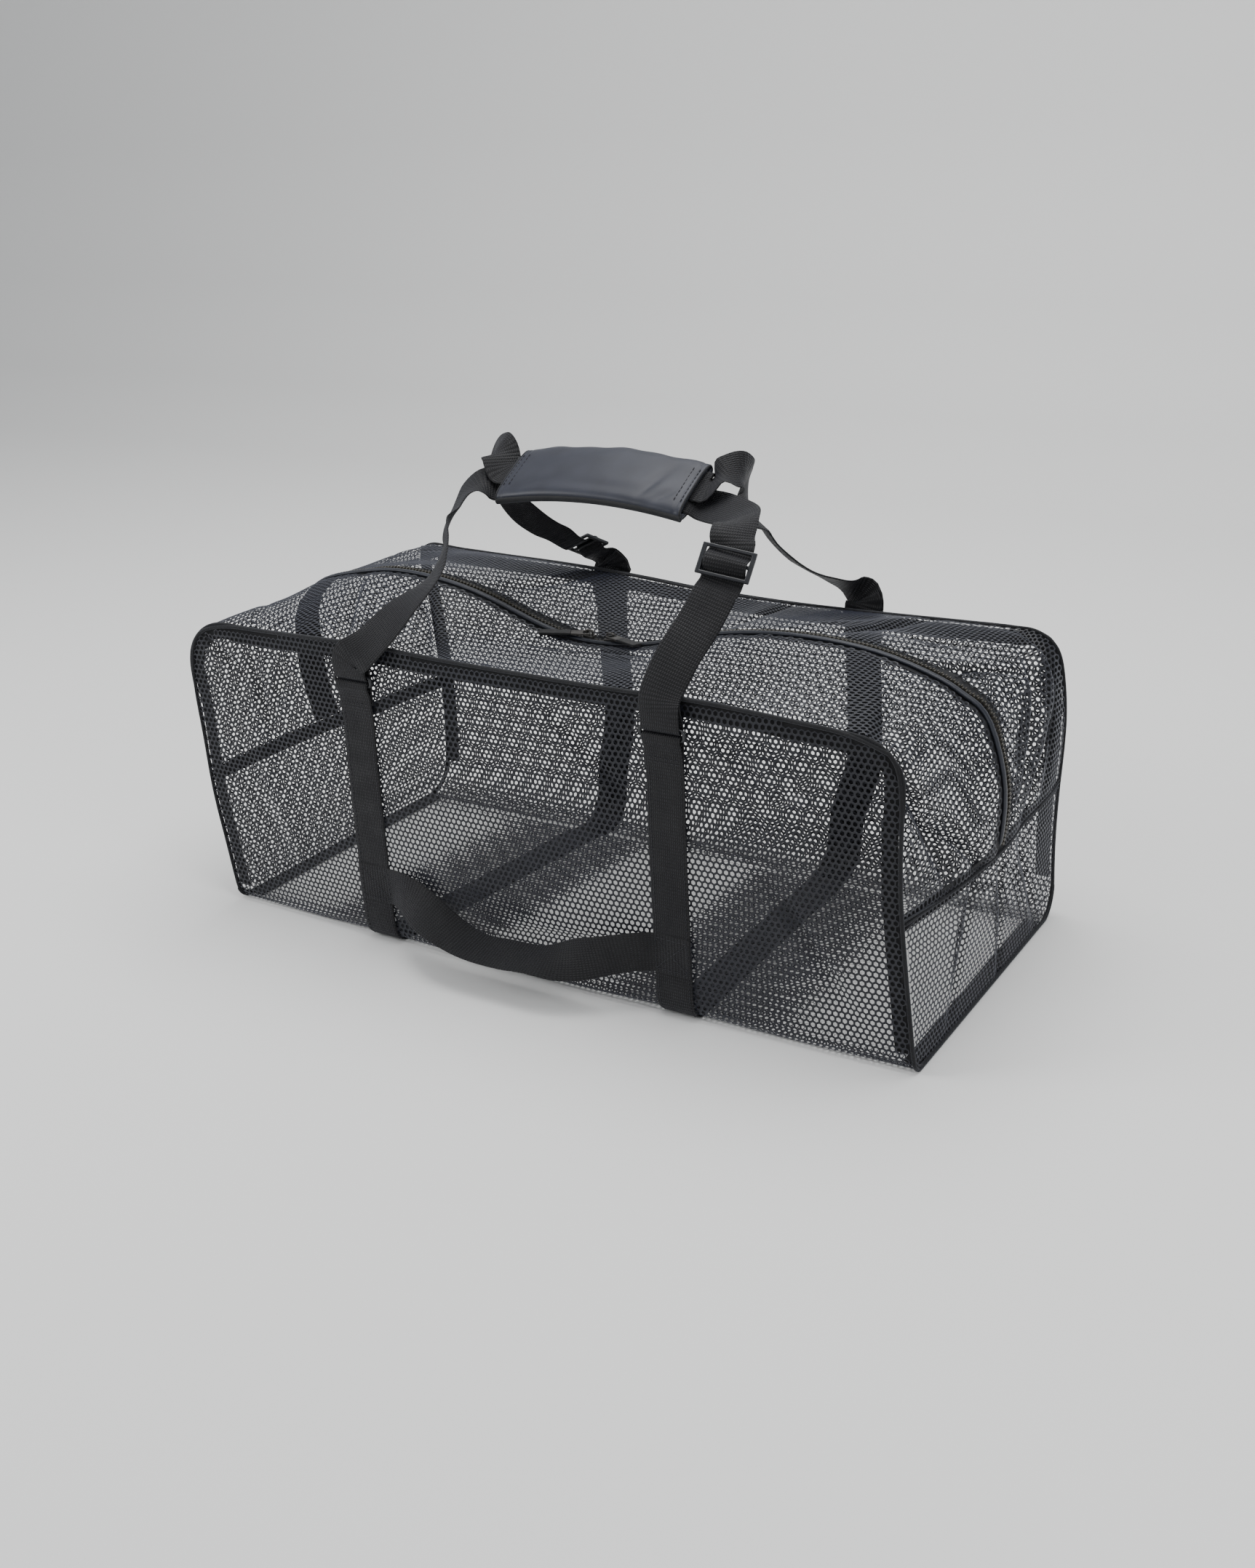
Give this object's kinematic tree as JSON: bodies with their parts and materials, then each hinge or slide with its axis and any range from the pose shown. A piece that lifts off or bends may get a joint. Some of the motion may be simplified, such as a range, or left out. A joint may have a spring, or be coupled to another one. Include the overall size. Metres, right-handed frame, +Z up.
{
  "type": "mesh dive gear bag",
  "caption": "Long box-shaped bag of coarse net with a top zip, webbing straps, two carrying handles joined by a padded grip and a low drag handle.",
  "frame": {"origin": "on the floor under the middle of the base, where the bag rests", "axes": "+X along the length, towards the right end as seen from the front; -Y is the front, with the low handle; +Z up"},
  "size_m": [0.8031, 0.4144, 0.4609],
  "materials": {
    "net": "coarse knitted mesh with hexagonal holes, semi-matt, near black with a blue-grey tint",
    "binding": "matt black woven tape and coated cord edge",
    "zip_chain": "moulded black teeth with brownish highlights",
    "webbing": "finely ribbed black webbing with a soft sheen",
    "hard_plastic": "satin black moulding",
    "pull_tab": "soft black ribbed rubber",
    "slider": "dull gunmetal",
    "grip": "smooth coated dark slate-blue cloth over padding"
  },
  "bodies": {
    "bag": {"net_wrap": "net", "end_panel_left": "net", "end_panel_right": "net", "top_panel_front": "net", "top_panel_back": "net", "seam_tape_front": "binding", "seam_tape_back": "binding", "mid_tape_left": "binding", "mid_tape_right": "binding", "foot_tape_left": "binding", "foot_tape_right": "binding", "zip_tape_front": "binding", "zip_tape_back": "binding", "zip_piping": "binding", "zip_chain": "zip_chain", "body_strap_left": "webbing", "body_strap_right": "webbing", "handle_front": "webbing", "handle_back": "webbing", "low_handle": "webbing", "ring_front_left": "hard_plastic", "ring_front_right": "hard_plastic", "ring_back_left": "hard_plastic", "ring_back_right": "hard_plastic", "adjuster_front": "hard_plastic", "adjuster_back": "hard_plastic", "slider_left": "slider", "slider_right": "slider", "grip_wrap": "grip"},
    "pull_left": {"pull_left": "slider", "tab_left": "pull_tab"},
    "pull_right": {"pull_right": "slider", "tab_right": "pull_tab"}
  },
  "joints": [
    {"name": "pull_left_swing", "type": "hinge", "parent": "bag", "child": "pull_left", "pos_m": [-0.03157, 0.00003, 0.28199], "axis": [-0.4988, 0.866, 0.0341], "range_deg": [0, 85]},
    {"name": "pull_right_swing", "type": "hinge", "parent": "bag", "child": "pull_right", "pos_m": [-0.00833, 0.00032, 0.28124], "axis": [-0.4249, -0.9048, 0.0272], "range_deg": [0, 150]}
  ]
}
